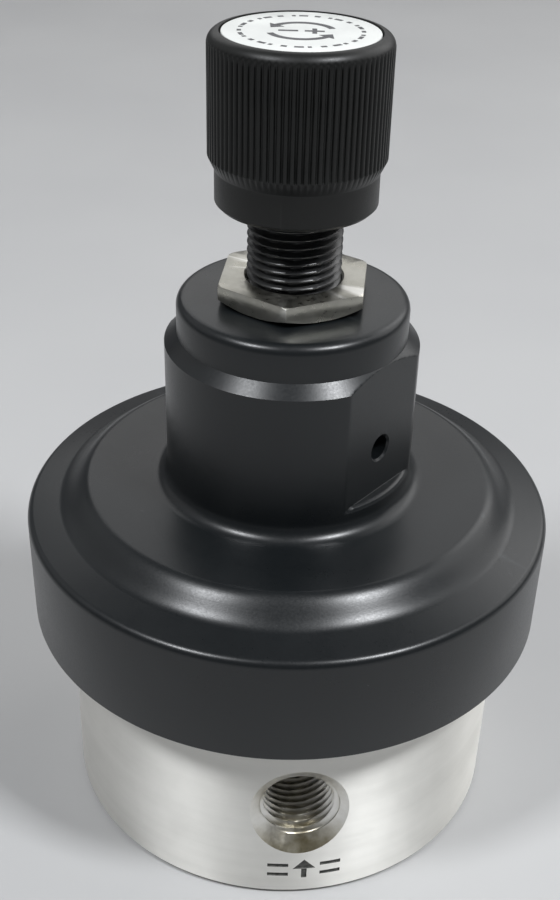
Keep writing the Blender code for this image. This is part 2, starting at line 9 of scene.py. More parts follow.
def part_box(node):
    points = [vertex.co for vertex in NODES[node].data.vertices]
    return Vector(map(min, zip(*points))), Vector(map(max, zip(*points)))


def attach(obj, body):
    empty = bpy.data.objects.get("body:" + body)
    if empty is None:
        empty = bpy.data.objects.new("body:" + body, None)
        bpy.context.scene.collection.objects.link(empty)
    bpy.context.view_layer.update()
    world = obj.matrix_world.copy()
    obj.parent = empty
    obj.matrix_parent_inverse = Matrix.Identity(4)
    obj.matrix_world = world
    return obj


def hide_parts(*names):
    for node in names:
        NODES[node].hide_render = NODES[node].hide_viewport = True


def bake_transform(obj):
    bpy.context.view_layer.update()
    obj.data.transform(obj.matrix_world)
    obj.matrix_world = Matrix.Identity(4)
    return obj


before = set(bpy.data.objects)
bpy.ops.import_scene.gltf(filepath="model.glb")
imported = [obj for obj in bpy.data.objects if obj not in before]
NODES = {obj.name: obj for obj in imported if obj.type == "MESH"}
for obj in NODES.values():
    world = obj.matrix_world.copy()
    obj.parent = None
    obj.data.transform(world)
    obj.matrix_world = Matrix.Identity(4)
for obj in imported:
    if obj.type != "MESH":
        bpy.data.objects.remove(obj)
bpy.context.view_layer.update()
MM = 0.001

# ---------------------------------------------------------------- sizes read from the frame


def low_z(node):
    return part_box(node)[0].z


def high_z(node):
    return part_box(node)[1].z


def radius_of(node):
    low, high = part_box(node)
    return (high.x - low.x) / 2


BODY_RADIUS = radius_of("body")
BODY_TOP = high_z("body")
CAP_RADIUS = radius_of("bonnet")
CAP_BOTTOM = low_z("bonnet")
BONNET_TOP = high_z("bonnet")
SCREW_RADIUS = radius_of("adjusting_screw")
SCREW_BOTTOM = low_z("adjusting_screw")
SCREW_TOP = high_z("adjusting_screw")
NUT_BOTTOM = low_z("jam_nut")
NUT_TOP = high_z("jam_nut")
KNOB_RADIUS = radius_of("knob")
KNOB_TOP = high_z("knob")
COLLAR_BOTTOM = low_z("knob")
LABEL_RADIUS = radius_of("knob_label")
LABEL_BOTTOM = low_z("knob_label")
LABEL_TOP = high_z("knob_label")

# Heights and radii between those, as the CAD design states them
PORT_HEIGHT = 21.0 * MM
PORT_THREAD_RADIUS = 7.3 * MM
PORT_MOUTH_RADIUS = 10.3 * MM
PORT_DEPTH = 16.0 * MM
PORT_CHAMFER_DEPTH = 1.9 * MM
THREAD_PITCH = 25.4 / 18 * MM
PLATEAU = 66.4 * MM
BARREL_RADIUS = 22.0 * MM
BARREL_SHOULDER = 93.3 * MM
NECK_RADIUS = 19.85 * MM
FLAT_DISTANCE = 19.95 * MM
FLAT_BOTTOM = 71.0 * MM
FLAT_AZIMUTH = math.radians(45.5)
VENT_HEIGHT = 79.3 * MM
VENT_RADIUS = 2.2 * MM
COLLAR_RADIUS = 13.3 * MM
COLLAR_TOP = 123.75 * MM
KNURL_BOTTOM = 126.0 * MM
NUT_ACROSS_FLATS = 23.8 * MM
NUT_TURN = math.radians(-10.1)
NUT_LOWER_FACE = 12.0 * MM
NUT_UPPER_FACE = 13.3 * MM
KNOB_EDGE_RADIUS = 1.9 * MM
SET_SCREW_HEIGHT = 120.8 * MM

# ---------------------------------------------------------------- node helpers


class Nodes:
    """Short calls for building one material's node tree."""

    def __init__(self, name):
        self.material = bpy.data.materials.new(name)
        self.material.use_nodes = True
        self.tree = self.material.node_tree
        self.shader = self.tree.nodes["Principled BSDF"]
        coordinates = self.tree.nodes.new("ShaderNodeTexCoord")
        self.place = coordinates.outputs["Object"]

    def link(self, source, target):
        self.tree.links.new(source, target)

    def stretched(self, scale):
        mapping = self.tree.nodes.new("ShaderNodeMapping")
        mapping.inputs["Scale"].default_value = scale
        self.link(self.place, mapping.inputs["Vector"])
        return mapping.outputs["Vector"]

    def noise(self, scale, detail=4.0, roughness=0.55, stretch=None, distortion=0.0):
        node = self.tree.nodes.new("ShaderNodeTexNoise")
        node.inputs["Scale"].default_value = scale
        node.inputs["Detail"].default_value = detail
        node.inputs["Roughness"].default_value = roughness
        node.inputs["Distortion"].default_value = distortion
        self.link(self.stretched(stretch) if stretch else self.place, node.inputs["Vector"])
        return node.outputs["Fac"]

    def cells(self, scale, stretch=None):
        node = self.tree.nodes.new("ShaderNodeTexVoronoi")
        node.inputs["Scale"].default_value = scale
        self.link(self.stretched(stretch) if stretch else self.place, node.inputs["Vector"])
        return node.outputs["Distance"]

    def remap(self, value, from_low, from_high, to_low, to_high):
        node = self.tree.nodes.new("ShaderNodeMapRange")
        node.inputs["From Min"].default_value = from_low
        node.inputs["From Max"].default_value = from_high
        node.inputs["To Min"].default_value = to_low
        node.inputs["To Max"].default_value = to_high
        self.link(value, node.inputs["Value"])
        return node.outputs["Result"]

    def math(self, operation, first, second):
        node = self.tree.nodes.new("ShaderNodeMath")
        node.operation = operation
        for socket, value in zip(node.inputs, (first, second)):
            if isinstance(value, (int, float)):
                socket.default_value = value
            else:
                self.link(value, socket)
        return node.outputs[0]

    def mix(self, share, first, second):
        """Mixes two colours, each a tuple or a socket, by a socket's value."""
        node = self.tree.nodes.new("ShaderNodeMix")
        node.data_type = "RGBA"
        self.link(share, node.inputs["Factor"])
        for socket, value in ((node.inputs[6], first), (node.inputs[7], second)):
            if isinstance(value, tuple):
                socket.default_value = (*value, 1.0)
            else:
                self.link(value, socket)
        return node.outputs[2]

    def mottle(self, value, first, second):
        """Mixes two colours by a noise value, with the whole change in its middle part."""
        return self.mix(self.remap(value, 0.35, 0.65, 0.0, 1.0), first, second)

    def uneven(self, first, second, low, high):
        """A value from low to high, by the sum of two noise values."""
        return self.remap(self.math("ADD", first, second), 0.7, 1.3, low, high)

    def bump(self, height, strength, distance, below=None):
        node = self.tree.nodes.new("ShaderNodeBump")
        node.inputs["Strength"].default_value = strength
        node.inputs["Distance"].default_value = distance
        self.link(height, node.inputs["Height"])
        if below is not None:
            self.link(below, node.inputs["Normal"])
        return node.outputs["Normal"]

    def height(self):
        node = self.tree.nodes.new("ShaderNodeSeparateXYZ")
        self.link(self.place, node.inputs["Vector"])
        return node.outputs["Z"]

    def pointiness(self):
        return self.tree.nodes.new("ShaderNodeNewGeometry").outputs["Pointiness"]

    def finish(self, colour, roughness, normal=None, metallic=0.0, specular=0.5):
        self.link(colour, self.shader.inputs["Base Color"])
        self.link(roughness, self.shader.inputs["Roughness"])
        if normal is not None:
            self.link(normal, self.shader.inputs["Normal"])
        self.shader.inputs["Metallic"].default_value = metallic
        self.shader.inputs["Specular IOR Level"].default_value = specular
        return self.material


# ---------------------------------------------------------------- materials


def turned_steel(name, light=(0.86, 0.85, 0.81), dark=(0.76, 0.75, 0.71)):
    """Satin stainless steel with fine turning lines round the main axis."""
    n = Nodes(name)
    lines = n.noise(1.0, 3.0, 0.7, stretch=(30.0, 30.0, 5200.0))
    bands = n.noise(1.0, 2.0, 0.5, stretch=(8.0, 8.0, 420.0))
    blotch = n.noise(55.0, 5.0, 0.6)
    specks = n.noise(1400.0, 2.0, 0.5)
    tone = n.math("ADD", n.math("MULTIPLY", blotch, 0.7), n.math("MULTIPLY", bands, 0.3))
    colour = n.mottle(tone, dark, light)
    roughness = n.uneven(lines, blotch, 0.46, 0.59)
    fine = n.bump(lines, 0.12, 0.05 * MM)
    normal = n.bump(specks, 0.06, 0.04 * MM, fine)
    tangent = n.tree.nodes.new("ShaderNodeTangent")
    tangent.direction_type = "RADIAL"
    tangent.axis = "Z"
    n.link(tangent.outputs["Tangent"], n.shader.inputs["Tangent"])
    n.shader.inputs["Anisotropic"].default_value = 0.87
    n.shader.inputs["Anisotropic Rotation"].default_value = 0.25
    return n.finish(colour, roughness, normal, metallic=1.0)


def stained_steel():
    """The tapped ports: the same steel, with a brownish film of thread compound in the lower half."""
    n = Nodes("port_steel")
    cloud = n.noise(170.0, 4.0, 0.6)
    grain = n.noise(1500.0, 3.0, 0.6)
    film = n.mottle(cloud, (0.27, 0.225, 0.12), (0.56, 0.525, 0.42))
    bare = n.mottle(cloud, (0.66, 0.65, 0.61), (0.82, 0.81, 0.78))
    level = n.math("ADD", n.height(), n.math("MULTIPLY", cloud, 3.0 * MM))
    colour = n.mix(n.remap(level, PORT_HEIGHT - 7.0 * MM, PORT_HEIGHT - 1.5 * MM, 0.0, 1.0), film, bare)
    roughness = n.uneven(cloud, grain, 0.28, 0.46)
    return n.finish(colour, roughness, n.bump(grain, 0.15, 0.04 * MM), metallic=1.0)


def dark_mark():
    """The darkened floor of the engraved mark."""
    n = Nodes("engraved_mark")
    grain = n.noise(900.0, 3.0)
    colour = n.mix(n.remap(grain, 0.3, 0.7, 0.0, 1.0), (0.035, 0.036, 0.034), (0.12, 0.12, 0.11))
    return n.finish(colour, n.remap(grain, 0.3, 0.7, 0.5, 0.75), n.bump(grain, 0.3, 0.05 * MM))


def anodised():
    """Black anodised aluminium: a fine satin grain, faint turning lines, rare light scuffs."""
    n = Nodes("black_anodised")
    grain = n.noise(2600.0, 3.0, 0.6)
    lines = n.noise(1.0, 3.0, 0.7, stretch=(60.0, 60.0, 3000.0))
    cloud = n.noise(38.0, 5.0, 0.6)
    scuff = n.noise(1.0, 6.0, 0.65, stretch=(900.0, 260.0, 500.0), distortion=0.8)
    rare = n.noise(60.0, 2.0, 0.5)
    base = n.mix(n.remap(cloud, 0.32, 0.68, 0.0, 1.0), (0.0040, 0.0052, 0.0060), (0.0068, 0.0083, 0.0092))
    marks = n.math("MULTIPLY", n.remap(scuff, 0.69, 0.74, 0.0, 1.0), n.remap(rare, 0.60, 0.68, 0.0, 0.3))
    worn = n.mix(marks, base, (0.20, 0.205, 0.20))
    edge = n.remap(n.pointiness(), 0.56, 0.66, 0.0, 0.30)
    colour = n.mix(edge, worn, (0.045, 0.050, 0.052))
    roughness = n.uneven(cloud, grain, 0.27, 0.37)
    fine = n.bump(lines, 0.10, 0.04 * MM)
    return n.finish(colour, roughness, n.bump(grain, 0.16, 0.04 * MM, fine), specular=0.46)


def oxide():
    """Black oxide steel, slightly oily."""
    n = Nodes("black_oxide")
    cloud = n.noise(240.0, 4.0)
    grain = n.noise(3200.0, 2.0)
    colour = n.mottle(cloud, (0.0035, 0.0038, 0.0042), (0.009, 0.0094, 0.0094))
    edge = n.remap(n.pointiness(), 0.53, 0.62, 0.0, 0.4)
    colour = n.mix(edge, colour, (0.045, 0.045, 0.044))
    roughness = n.uneven(cloud, grain, 0.26, 0.42)
    return n.finish(colour, roughness, n.bump(grain, 0.12, 0.03 * MM), specular=0.6)


def nickel():
    """Dull nickel plate with smudges, a slightly rough tumbled surface and a painted highlight on its sharp
    edges.
    """
    n = Nodes("nickel_plate")
    cloud = n.noise(150.0, 5.0, 0.65)
    dents = n.noise(900.0, 3.0, 0.6)
    grain = n.noise(4200.0, 2.0)
    colour = n.mottle(cloud, (0.40, 0.39, 0.34), (0.50, 0.49, 0.445))
    # painted highlight: sharp edges lightened towards near-white by pointiness
    edge = n.remap(n.pointiness(), 0.54, 0.66, 0.0, 0.8)
    colour = n.mix(edge, colour, (0.90, 0.89, 0.85))
    roughness = n.uneven(cloud, dents, 0.24, 0.42)
    rough = n.bump(dents, 0.05, 0.04 * MM)
    return n.finish(colour, roughness, n.bump(grain, 0.15, 0.03 * MM, rough), metallic=1.0)


def knob_plastic():
    """Black moulded plastic, greyer where the ribs are rubbed."""
    n = Nodes("knob_plastic")
    cloud = n.noise(160.0, 4.0)
    grain = n.noise(3800.0, 3.0, 0.6)
    colour = n.mottle(cloud, (0.0024, 0.0027, 0.0023), (0.0045, 0.0049, 0.0043))
    edge = n.remap(n.pointiness(), 0.53, 0.60, 0.0, 0.35)
    colour = n.mix(edge, colour, (0.016, 0.017, 0.0155))
    roughness = n.uneven(cloud, grain, 0.36, 0.50)
    return n.finish(colour, roughness, n.bump(grain, 0.20, 0.04 * MM), specular=0.36)


def label_film():
    """White printed film under a thin clear layer, with light handling marks."""
    n = Nodes("label_film")
    cloud = n.noise(130.0, 4.0)
    smears = n.noise(1.0, 5.0, 0.6, stretch=(700.0, 200.0, 300.0))
    colour = n.mottle(cloud, (0.55, 0.56, 0.54), (0.62, 0.63, 0.605))
    dust = n.remap(smears, 0.62, 0.72, 0.0, 0.25)
    colour = n.mix(dust, colour, (0.45, 0.45, 0.42))
    roughness = n.uneven(cloud, smears, 0.30, 0.48)
    return n.finish(colour, roughness, n.bump(smears, 0.06, 0.03 * MM), specular=0.5)


def label_ink():
    n = Nodes("label_ink")
    grain = n.noise(1500.0, 3.0)
    colour = n.mix(n.remap(grain, 0.35, 0.7, 0.0, 1.0), (0.030, 0.031, 0.034), (0.085, 0.085, 0.09))
    return n.finish(colour, n.remap(grain, 0.3, 0.7, 0.38, 0.55), n.bump(grain, 0.08, 0.02 * MM))


def drawn_wire():
    n = Nodes("drawn_wire")
    cloud = n.noise(300.0, 4.0)
    grain = n.noise(3000.0, 2.0)
    colour = n.mottle(cloud, (0.24, 0.235, 0.22), (0.38, 0.37, 0.35))
    roughness = n.uneven(cloud, grain, 0.25, 0.42)
    return n.finish(colour, roughness, n.bump(grain, 0.12, 0.03 * MM), metallic=1.0)


def moulded_rubber():
    n = Nodes("moulded_rubber")
    cloud = n.noise(200.0, 4.0)
    grain = n.noise(2600.0, 3.0)
    colour = n.mottle(cloud, (0.012, 0.012, 0.012), (0.028, 0.028, 0.027))
    roughness = n.uneven(cloud, grain, 0.50, 0.72)
    return n.finish(colour, roughness, n.bump(grain, 0.25, 0.05 * MM))


def turned_polymer():
    n = Nodes("turned_polymer")
    lines = n.noise(1.0, 3.0, 0.6, stretch=(60.0, 60.0, 4200.0))
    cloud = n.noise(220.0, 4.0)
    colour = n.mottle(cloud, (0.70, 0.68, 0.60), (0.80, 0.785, 0.72))
    return n.finish(colour, n.remap(lines, 0.3, 0.7, 0.35, 0.55), n.bump(lines, 0.2, 0.05 * MM))


def sintered_metal():
    n = Nodes("sintered_metal")
    grains = n.cells(5200.0)
    cloud = n.noise(400.0, 3.0)
    colour = n.mottle(cloud, (0.34, 0.32, 0.28), (0.50, 0.48, 0.43))
    roughness = n.remap(grains, 0.0, 0.6, 0.45, 0.75)
    return n.finish(colour, roughness, n.bump(grains, 0.6, 0.1 * MM), metallic=1.0)


# ---------------------------------------------------------------- mesh helpers


def object_of(name, vertices, faces, materials, sharp=30.0):
    mesh = bpy.data.meshes.new(name)
    mesh.from_pydata([tuple(v) for v in vertices], [], faces)
    mesh.update()
    bm = bmesh.new()
    bm.from_mesh(mesh)
    bmesh.ops.remove_doubles(bm, verts=bm.verts, dist=1e-7)
    bmesh.ops.recalc_face_normals(bm, faces=bm.faces)
    bm.to_mesh(mesh)
    bm.free()
    mesh.shade_smooth()
    mesh.set_sharp_from_angle(angle=math.radians(sharp))
    for material in materials:
        mesh.materials.append(material)
    thing = bpy.data.objects.new(name, mesh)
    bpy.context.scene.collection.objects.link(thing)
    return thing


def rounded(corners, steps=3):
    """A path of (radius, height) points, each corner with its own fillet radius as a third number."""
    points = []
    count = len(corners)
    for index, corner in enumerate(corners):
        here = Vector(corner[:2])
        size = corner[2] if len(corner) > 2 else 0.0
        if size <= 0.0 or index in (0, count - 1):
            points.append((here.x, here.y))
            continue
        before = (Vector(corners[index - 1][:2]) - here).normalized()
        after = (Vector(corners[index + 1][:2]) - here).normalized()
        half = before.angle(after) / 2
        reach = size / math.tan(half)
        centre = here + (before + after).normalized() * (size / math.sin(half))
        start = here + before * reach - centre
        stop = here + after * reach - centre
        turn = start.angle_signed(stop)
        for step in range(steps + 1):
            spoke = start.copy()
            spoke.rotate(Matrix.Rotation(-turn * step / steps, 2))
            points.append((centre.x + spoke.x, centre.y + spoke.y))
    return points


def revolved(name, outline, sides, materials, closed=False, shape=None, sharp=30.0):
    """Turns (radius, height) points about Z. An outline that isn't closed starts and ends on the axis.

    sides is a count, or an array of the sides' own azimuths.
    """
    if isinstance(sides, int):
        sides = np.arange(sides) * (2 * math.pi / sides)
    angles, sides = sides, len(sides)
    vertices, rings = [], []
    for radius, height in outline:
        if radius < 1e-9:
            rings.append([len(vertices)])
            vertices.append((0.0, 0.0, height))
            continue
        spread = np.full(sides, radius) if shape is None else shape(radius, height, angles)
        rings.append(list(range(len(vertices), len(vertices) + sides)))
        vertices.extend(zip(spread * np.sin(angles), -spread * np.cos(angles), np.full(sides, height)))
    pairs = list(zip(rings, rings[1:]))
    if closed:
        pairs.append((rings[-1], rings[0]))
    faces = []
    for first, second in pairs:
        for side in range(sides):
            after = (side + 1) % sides
            if len(first) == 1 and len(second) == 1:
                continue
            if len(first) == 1:
                faces.append((first[0], second[after], second[side]))
            elif len(second) == 1:
                faces.append((first[side], first[after], second[0]))
            else:
                faces.append((first[side], first[after], second[after], second[side]))
    return object_of(name, vertices, faces, materials, sharp)


def cut(thing, cutters, sharp=30.0, operation="DIFFERENCE"):
    """Applies the cutters to the thing one by one, for good, and removes them."""
    for cutter in cutters:
        boolean = thing.modifiers.new("cut", "BOOLEAN")
        boolean.operation = operation
        boolean.solver = "EXACT"
        boolean.object = cutter
        graph = bpy.context.evaluated_depsgraph_get()
        mesh = bpy.data.meshes.new_from_object(thing.evaluated_get(graph))
        thing.modifiers.clear()
        thing.data = mesh
        bpy.data.objects.remove(cutter)
    thing.data.shade_smooth()
    thing.data.set_sharp_from_angle(angle=math.radians(sharp))
    return thing


def outward(azimuth, height):
    """Carries local +Z to point outwards at an azimuth, which is 0 at -Y and positive towards +X."""
    lift = Matrix.Translation((0.0, 0.0, height))
    return lift @ Matrix.Rotation(azimuth, 4, "Z") @ Matrix.Rotation(math.radians(90.0), 4, "X")


def stands_for(piece, node, body):
    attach(piece, body)
    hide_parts(node)
    return piece


# ---------------------------------------------------------------- steel body


def thread_profile(phase):
    """Height of a sharp V thread with small flats, from 0 at the root to 1 at the crest."""
    wave = np.abs((phase % 1.0) * 2.0 - 1.0)
    return np.clip(wave * 1.3 - 0.12, 0.0, 1.0)


def port_cutter(azimuth, drill_radius, reach):
    """A port as one solid: drilled way, tapered pipe thread, countersink."""
    bottom = BODY_RADIUS - PORT_DEPTH
    mouth = BODY_RADIUS - PORT_CHAMFER_DEPTH
    thread_depth = 0.95 * MM
    slope = PORT_CHAMFER_DEPTH / (PORT_MOUTH_RADIUS - PORT_THREAD_RADIUS)
    run_out = 1.5 * MM
    rows_per_turn = 10
    count = int((mouth - bottom) / THREAD_PITCH * rows_per_turn)
    heights = np.linspace(mouth, bottom, count)
    top = BODY_RADIUS + run_out * slope
    outline = [(0.0, top), (PORT_MOUTH_RADIUS + run_out, top)]
    outline += [(PORT_MOUTH_RADIUS, BODY_RADIUS), (PORT_THREAD_RADIUS, mouth)]
    outline += [(PORT_THREAD_RADIUS, height) for height in heights[1:]]
    outline += [(drill_radius, bottom), (drill_radius, reach), (0.0, reach)]
    taper = 1.0 / 32.0

    def shape(radius, height, angles):
        if radius != PORT_THREAD_RADIUS or height >= mouth:
            return np.full(len(angles), radius)
        major = radius - (mouth - height) * taper
        fade = min(1.0, (mouth - height) / (0.6 * THREAD_PITCH))
        crest = thread_profile((height / THREAD_PITCH) + angles / (2 * math.pi))
        return major - thread_depth * fade * (1.0 - crest)

    cutter = revolved("port_cutter", outline, 72, [], shape=shape)
    cutter.data.transform(outward(azimuth, PORT_HEIGHT))
    return cutter


def curved_prism(corners, azimuth, height, radius, depth):
    """A flat outline of (across, up) points wrapped on the body's side and sunk into it."""
    vertices = []
    for level in (radius - depth, radius + 0.5 * MM):
        for across, up in corners:
            angle = azimuth + across / radius
            vertices.append((level * math.sin(angle), -level * math.cos(angle), height + up))
    count = len(corners)
    faces = [tuple(range(count)), tuple(range(2 * count - 1, count - 1, -1))]
    for side in range(count):
        after = (side + 1) % count
        faces.append((side, side + count, after + count, after))
    return object_of("mark_cutter", vertices, faces, [])


MARK_HEIGHT = 6.4 * MM
MARK_AZIMUTH = math.radians(1.6)


def flow_mark_cutters():
    """An arrow up into the port between two pairs of level bars, in millimetres."""
    depth = 0.3 * MM
    bar_half = 0.42
    shapes = [
        [(-2.1, 0.1), (2.1, 0.1), (0.0, 2.5)],
        [(-0.5, -2.3), (0.5, -2.3), (0.5, 0.05), (-0.5, 0.05)],
    ]
    for start in (-6.7, 2.9):
        for low in (start, start + 1.9):
            high = low + 1.9
            for level in (-1.3, 1.1):
                bottom, top = level - bar_half, level + bar_half
                shapes.append([(low, bottom), (high, bottom), (high, top), (low, top)])
    scaled = [[(x * MM, z * MM) for x, z in corners] for corners in shapes]
    return [curved_prism(corners, MARK_AZIMUTH, MARK_HEIGHT, BODY_RADIUS, depth) for corners in scaled]


def make_body(steel, mark, port_steel):
    groove_inner, groove_outer, groove_floor = 36.8 * MM, 39.6 * MM, 50.2 * MM
    chamber, chamber_floor = 34.0 * MM, 48.5 * MM
    pocket, pocket_floor = 11.0 * MM, 39.0 * MM
    valve_bore, valve_bore_floor = 8.6 * MM, 14.5 * MM
    corners = [
        (0.0, 0.0),
        (12.0 * MM, 0.0),
        (30.0 * MM, 0.0),
        (BODY_RADIUS - 0.8 * MM, 0.0, 0.15 * MM),
        (BODY_RADIUS, 0.8 * MM, 0.3 * MM),
        (BODY_RADIUS, 4.0 * MM),
        (BODY_RADIUS, 13.0 * MM),
        (BODY_RADIUS, 32.0 * MM),
        (BODY_RADIUS, BODY_TOP - 0.6 * MM, 0.2 * MM),
        (BODY_RADIUS - 0.6 * MM, BODY_TOP),
        (groove_outer, BODY_TOP),
        (groove_outer, groove_floor),
        (groove_inner, groove_floor),
        (groove_inner, BODY_TOP),
        (chamber, BODY_TOP),
        (chamber, chamber_floor, 1.5 * MM),
        (pocket, chamber_floor),
        (pocket, pocket_floor),
        (valve_bore, pocket_floor),
        (valve_bore, valve_bore_floor),
        (0.0, valve_bore_floor),
    ]
    body = revolved("regulator_body", rounded(corners), 240, [steel, mark, port_steel])
    quarter = math.pi / 2
    flow_drill, gauge_drill = 3.0 * MM, 2.0 * MM
    inside_bore, riser = 5.0 * MM, 20.0 * MM
    cutters = [
        port_cutter(0.0, flow_drill, inside_bore),
        port_cutter(2 * quarter, flow_drill, riser),
        port_cutter(-quarter, gauge_drill, inside_bore),
        port_cutter(quarter, gauge_drill, riser),
    ]
    riser_top, riser_bottom = 50.5 * MM, 20.5 * MM
    for place, radius in (((0.0, riser, 0.0), 3.3 * MM), ((riser, 0.0, 0.0), 2.3 * MM)):
        outline = [(0.0, riser_top), (radius, riser_top), (radius, riser_bottom), (0.0, riser_bottom)]
        drill = revolved("riser_cutter", outline, 48, [])
        drill.data.transform(Matrix.Translation(place))
        cutters.append(drill)
    cut(body, cutters + flow_mark_cutters(), 28.0)
    colour_cuts(body)
    return stands_for(body, "body", "root")


def colour_cuts(body):
    """The mark's floor and the insides of the ports take their own finishes."""
    for face in body.data.polygons:
        x, y, z = face.center
        inside = math.hypot(x, y) < BODY_RADIUS - 0.1 * MM
        in_mark = y < -BODY_RADIUS + 2.0 * MM and abs(z - MARK_HEIGHT) < 3.5 * MM and abs(x) < 9.0 * MM
        in_port = (
            max(abs(x), abs(y)) > BODY_RADIUS - PORT_DEPTH - 0.1 * MM
            and math.hypot(min(abs(x), abs(y)), z - PORT_HEIGHT) < PORT_MOUTH_RADIUS + 0.1 * MM
        )
        if inside and in_port:
            face.material_index = 2
        elif inside and in_mark:
            face.material_index = 1


# ---------------------------------------------------------------- bonnet


def step_curve(inner, outer, outer_slope, steps):
    """A smooth step, level at the inner end and on outer_slope at the outer end."""
    run, drop = outer[0] - inner[0], outer[1] - inner[1]
    points = []
    for step in range(steps + 1):
        t = step / steps
        height = inner[1] + drop * (3 * t**2 - 2 * t**3) + outer_slope * run * (t**3 - t**2)
        points.append((inner[0] + run * t, height))
    return points


def bonnet_outline():
    rim = (46.9 * MM, 61.25 * MM)
    foot = (41.9 * MM, 62.4 * MM)
    slope = (foot[1] - rim[1]) / (foot[0] - rim[0])
    skirt = BODY_RADIUS + 0.3 * MM
    outside = rounded(
        [
            (skirt + 1.0 * MM, CAP_BOTTOM),
            (CAP_RADIUS - 0.4 * MM, CAP_BOTTOM, 0.1 * MM),
            (CAP_RADIUS, CAP_BOTTOM + 0.4 * MM, 0.15 * MM),
            (CAP_RADIUS, rim[1] + slope * (CAP_RADIUS - rim[0]), 1.5 * MM),
            foot,
        ],
        8,
    )[:-1]
    step = list(reversed(step_curve((35.7 * MM, PLATEAU), foot, slope, 22)))
    foot_fillet = 2.8 * MM
    fillet = rounded(
        [(30.0 * MM, PLATEAU), (BARREL_RADIUS, PLATEAU, foot_fillet), (BARREL_RADIUS, 70.0 * MM)], 8
    )
    shoulder_rise = 1.9 * MM
    cone = [
        (BARREL_RADIUS + (NECK_RADIUS - BARREL_RADIUS) * share, BARREL_SHOULDER + shoulder_rise * share)
        for share in np.linspace(0.0, 1.0, 13)
    ]
    screw_hole, hole_edge = 8.2 * MM, 0.5 * MM
    spring_bore, spring_roof = 16.0 * MM, 90.0 * MM
    plate_chamber, plate_roof, plate_bottom = 34.5 * MM, 59.8 * MM, 55.6 * MM
    above = rounded(
        [
            cone[-1],
            (NECK_RADIUS, BARREL_SHOULDER + shoulder_rise + 0.3 * MM),
            (NECK_RADIUS, BONNET_TOP, 1.7 * MM),
            (14.0 * MM, BONNET_TOP),
            (screw_hole + hole_edge, BONNET_TOP, 0.1 * MM),
            (screw_hole, BONNET_TOP - hole_edge),
            (screw_hole, spring_roof),
            (spring_bore, spring_roof),
            (spring_bore, plate_roof + 1.0 * MM),
            (spring_bore + 1.0 * MM, plate_roof),
            (plate_chamber, plate_roof),
            (plate_chamber, plate_bottom),
            (skirt, plate_bottom),
            (skirt, CAP_BOTTOM + 1.0 * MM),
        ],
        6,
    )
    barrel = flat_rows()
    return outside + step + fillet + barrel + cone + above[1:]


LEDGE_EDGE = 0.9 * MM  # rounding of the ledge's outer edge
LEDGE_FILLET = 0.15 * MM  # rounding at the ledge's inner corner, at the flat's foot
# Height of each row of points from the ledge's edge up to the flat: first how far its outer
# edge is rounded off, then how far from the flat it stands.
OUTER_ROWS = [
    (FLAT_BOTTOM - LEDGE_EDGE * (1 - math.sin(turn)), LEDGE_EDGE * (1 - math.cos(turn)))
    for turn in np.radians([0, 20, 45, 70, 90])
]
INNER_ROWS = [
    (FLAT_BOTTOM + LEDGE_FILLET * (1 - math.cos(turn)), LEDGE_FILLET * (1 - math.sin(turn)))
    for turn in np.radians([0, 20, 45, 70, 90])
]
ROW_STEP = 1e-6  # metres between the two rows that share the ledge's height


def flat_rows():
    """The barrel's rows, all at its full radius: barrel_shape then pushes them in to the flats."""
    heights = [height for height, _ in OUTER_ROWS]
    heights += [height + ROW_STEP for height, _ in INNER_ROWS]
    heights += list(np.linspace(FLAT_BOTTOM + 2.0 * MM, BARREL_SHOULDER - 0.5 * MM, 6))
    return [(BARREL_RADIUS, height) for height in heights]


def barrel_shape(radius, height, angles):
    """The two wrench flats: a ledge at their foot, then a plane up through the shoulder."""
    spokes = np.full(len(angles), radius)
    if not OUTER_ROWS[0][0] <= height <= BONNET_TOP or radius < FLAT_DISTANCE:
        return spokes
    around = np.abs((angles - FLAT_AZIMUTH + math.pi / 2) % math.pi - math.pi / 2)
    wall = FLAT_DISTANCE / np.maximum(np.cos(around), 0.5)
    for row, back in OUTER_ROWS:
        if abs(height - row) < ROW_STEP / 2:
            return np.maximum(spokes - back, np.minimum(wall, spokes))
    ledge = np.maximum(spokes - LEDGE_EDGE, np.minimum(wall, spokes))
    for row, out in INNER_ROWS:
        if abs(height - row - ROW_STEP) < ROW_STEP / 2:
            return np.minimum(wall + out, ledge)
    return np.minimum(wall, spokes)


def barrel_azimuths():
    """Even azimuths, but with a narrow facet along each upright edge of the flats."""
    crease = math.acos(FLAT_DISTANCE / BARREL_RADIUS)
    facet = math.radians(0.3)
    spacing = 2 * math.pi / 360
    edges = [FLAT_AZIMUTH + turn + side * crease for turn in (0.0, math.pi) for side in (-1, 1)]
    even = np.arange(360) * spacing
    away = np.min([np.abs((even - edge + math.pi) % (2 * math.pi) - math.pi) for edge in edges], axis=0)
    facets = [edge + side * facet for edge in edges for side in (-1, 1)]
    return np.sort(np.concatenate([even[away > 2 * facet], np.mod(facets, 2 * math.pi)]))


def vent_cutter():
    """The vent hole with a small broken edge where it meets the flat."""
    edge = 0.35 * MM
    outline = [
        (0.0, BARREL_RADIUS),
        (VENT_RADIUS + edge + 1.0 * MM, FLAT_DISTANCE + 1.0 * MM),
        (VENT_RADIUS + edge, FLAT_DISTANCE),
        (VENT_RADIUS, FLAT_DISTANCE - edge),
        (VENT_RADIUS, 14.0 * MM),
        (0.0, 14.0 * MM),
    ]
    cutter = revolved("vent_cutter", outline, 48, [])
    cutter.data.transform(outward(FLAT_AZIMUTH, VENT_HEIGHT))
    return cutter


def make_bonnet(black):
    bonnet = revolved(
        "bonnet_shell", bonnet_outline(), barrel_azimuths(), [black], closed=True, shape=barrel_shape
    )
    cut(bonnet, [vent_cutter()], 24.0)
    return stands_for(bonnet, "bonnet", "root")


# ---------------------------------------------------------------- screw, nut, knob


